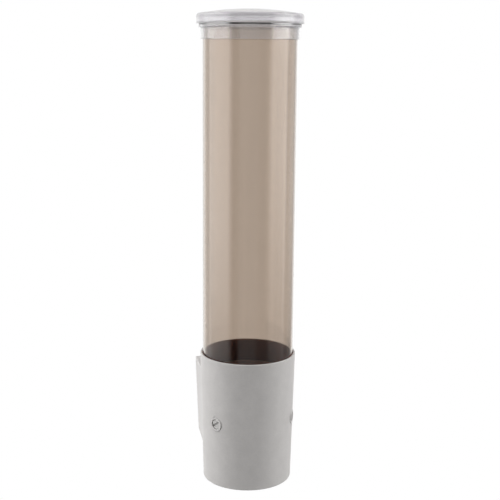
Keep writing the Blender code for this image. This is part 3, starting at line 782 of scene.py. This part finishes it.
def make_screw(name, azimuth, slot_turn):
    """Slotted screw in its bush, with a blind hole in its inner end."""
    outline = rounded([
        (SCREW_HOLE_RADIUS, 0, 0), (SCREW_RADIUS, 0, SCREW_EDGE), (SCREW_RADIUS, SCREW_LENGTH, SCREW_EDGE),
        (0, SCREW_LENGTH, 0), (0, SCREW_HOLE_DEPTH, 0), (SCREW_HOLE_RADIUS, SCREW_HOLE_DEPTH, 0)])
    place = axis_place(azimuth, ADJUSTER_HEIGHT, SCREW_OUTER_REACH - SCREW_LENGTH, 90)
    screw = add("screw_" + name, turned("screw_" + name, outline, SMALL_STEPS), place)
    half = SLOT_WIDTH / 2
    past = SCREW_RADIUS + OVERRUN
    slot = block("slot", (-past, -half, SCREW_LENGTH - SLOT_DEPTH), (past, half, SCREW_LENGTH + OVERRUN))
    slot.transform(Matrix.Rotation(math.radians(slot_turn), 4, "Z"))
    cut(screw, [add("slot", slot, place)])
    soften_edges(screw, SLOT_EDGE, SLOT_SEGMENTS, SLOT_SHARP)
    finish_piece(screw, "adjuster_screw_" + name, "screw_plastic", "adjuster_screw_" + name)


# Pieces that keep their CAD shape, with softened edges

def soften_node(node, name, width, body, slot):
    """Copy of a CAD node with rounded edges, in its place."""
    obj = bpy.data.objects.new(name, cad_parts[node].data.copy())
    bpy.context.scene.collection.objects.link(obj)
    weld = obj.modifiers.new("weld", "WELD")
    weld.merge_threshold = WELD_DISTANCE
    settle(obj)
    soften_edges(obj, width)
    finish_piece(obj, body, slot, node)


# Studio

def add_camera():
    """Camera at the photograph's view."""
    data = bpy.data.cameras.new("camera")
    data.lens = LENS
    data.sensor_width = SENSOR
    camera = bpy.data.objects.new("camera", data)
    bpy.context.scene.collection.objects.link(camera)
    towards = Vector((math.sin(VIEW_AZIMUTH), -math.cos(VIEW_AZIMUTH)))
    camera.location = (towards.x * CAMERA_REACH, AXIS_Y + towards.y * CAMERA_REACH, FOOT_Z + CAMERA_HEIGHT)
    aim = Euler((math.pi / 2 - CAMERA_PITCH, 0, VIEW_AZIMUTH + CAMERA_YAW)).to_matrix()
    camera.rotation_euler = (aim @ Matrix.Rotation(CAMERA_ROLL, 3, "Z")).to_euler()
    bpy.context.scene.camera = camera


def vector_node(tree, operation, vector, other=None):
    """Maths on a vector socket and a fixed vector."""
    node = tree.nodes.new("ShaderNodeVectorMath")
    node.operation = operation
    tree.links.new(vector, node.inputs[0])
    if other is not None:
        node.inputs[1].default_value = other
    return node.outputs["Value" if operation == "DOT_PRODUCT" else "Vector"]


def window(tree, value, start, full, strength):
    """Strength that rises smoothly from 0 at start to its full value."""
    node = tree.nodes.new("ShaderNodeMapRange")
    node.interpolation_type = "SMOOTHSTEP"
    node.inputs["From Min"].default_value = start
    node.inputs["From Max"].default_value = full
    node.inputs["To Max"].default_value = strength
    tree.links.new(value, node.inputs["Value"])
    return node.outputs["Result"]


def light_path_share(tree, outputs):
    """1 for a ray that any of these Light Path outputs names, and 0 for others."""
    path = tree.nodes.new("ShaderNodeLightPath")
    share = path.outputs[outputs[0]]
    for output in outputs[1:]:
        share = math_node(tree, "MAXIMUM", share, path.outputs[output])
    return share


def make_world():
    """Soft panels round and above the dispenser, and plain white for rays straight from the camera."""
    world = bpy.data.worlds.new("studio")
    bpy.context.scene.world = world
    world.use_nodes = True
    tree = world.node_tree
    background = tree.nodes["Background"]
    background.inputs["Color"].default_value = (1, 1, 1, 1)
    coordinates = tree.nodes.new("ShaderNodeTexCoord")
    ray = vector_node(tree, "NORMALIZE", coordinates.outputs["Generated"])
    level = vector_node(tree, "NORMALIZE", vector_node(tree, "MULTIPLY", ray, (1, 1, 0)))
    height = vector_node(tree, "DOT_PRODUCT", ray, (0, 0, 1))

    def panel(bearing, half_width, soft, strength):
        azimuth = VIEW_AZIMUTH + math.radians(bearing)
        across = vector_node(tree, "DOT_PRODUCT", level, (math.sin(azimuth), -math.cos(azimuth), 0))
        start = math.cos(math.radians(half_width + soft))
        full = math.cos(math.radians(half_width - soft))
        return window(tree, across, start, full, strength)

    panels = ROOM_STRENGTH
    for foot, members in PANELS:
        row = 0.0
        for values in members:
            row = math_node(tree, "ADD", row, panel(*values))
        row = math_node(tree, "MULTIPLY", row, window(tree, height, *foot, 1.0))
        panels = math_node(tree, "ADD", panels, row)
    panels = math_node(tree, "MULTIPLY", panels, window(tree, height, *PANEL_TOP, 1.0))
    low_wall = math_node(tree, "MULTIPLY", panel(*LOW_WALL), window(tree, height, *LOW_WALL_TOP, 1.0))
    above = window(tree, height, *TOP_PANEL, TOP_STRENGTH)
    studio = math_node(tree, "ADD", math_node(tree, "ADD", panels, low_wall), above)
    path = tree.nodes.new("ShaderNodeLightPath")
    bounces = math_node(tree, "ADD", path.outputs["Glossy Depth"], path.outputs["Diffuse Depth"])
    straight = math_node(tree, "LESS_THAN", bounces, 0.5)
    mix = tree.nodes.new("ShaderNodeMix")
    tree.links.new(straight, mix.inputs["Factor"])
    tree.links.new(studio, mix.inputs["A"])
    mix.inputs["B"].default_value = 1.0
    tree.links.new(mix.outputs["Result"], background.inputs["Strength"])


def make_floor():
    """Round pale plate below the dispenser, which keeps its shadow."""
    outline = rounded([
        (0, -FLOOR_THICKNESS, 0), (FLOOR_RADIUS, -FLOOR_THICKNESS, 0), (FLOOR_RADIUS, 0, FLOOR_THICKNESS / 2),
        (0, 0, 0)])
    floor = add("floor", turned("floor", outline), axis_place(height=-FLOOR_DROP))
    mat, tree, shader = new_material("pale_floor")
    shader.inputs["Roughness"].default_value = FLOOR_ROUGHNESS
    cloud = spread(tree, noise(tree, FLOOR_CLOUD_SCALE), 1 - FLOOR_MOTTLE, 1, SPAN)
    tree.links.new(tint(tree, FLOOR_COLOUR, cloud), shader.inputs["Base Color"])
    seen = light_path_share(tree, ["Is Camera Ray", "Is Glossy Ray", "Is Transmission Ray"])
    tree.links.new(spread(tree, seen, 0, FLOOR_GLOW), shader.inputs["Emission Strength"])
    shader.inputs["Emission Color"].default_value = (1, 1, 1, 1)
    floor.data.materials.append(mat)


bpy.context.scene.view_settings.view_transform = "Standard"
add_camera()
make_world()
make_floor()

for name, values in PLASTICS.items():
    materials[name] = moulded_plastic(name, *values)
for name, values in CLEAR_PLASTICS.items():
    materials[name] = clear_moulding(name, *values)
materials["spring_steel"] = bright_steel("spring_steel", STEEL_COLOUR, STEEL_ROUGHNESS)

make_collar()
make_tube()
make_lid()
soften_node("throat_liner", "liner_moulding", LINER_EDGE, "dispenser", "liner_plastic")
soften_node("wall_bracket", "bracket_plate", BRACKET_EDGE, "wall_bracket", "bracket_plastic")
for name, (azimuth, slot_turn) in STATIONS.items():
    make_bush(name, azimuth)
    make_screw(name, azimuth, slot_turn)
    soften_node("adjuster_pad_" + name, "pad_" + name, PAD_EDGE, "adjuster_pad_" + name, "pad_plastic")
    soften_node("grip_finger_" + name, "finger_" + name, FINGER_EDGE, "grip_finger_" + name, "finger_plastic")
    soften_node("finger_spring_" + name, "spring_" + name, SPRING_EDGE, "dispenser", "spring_steel")
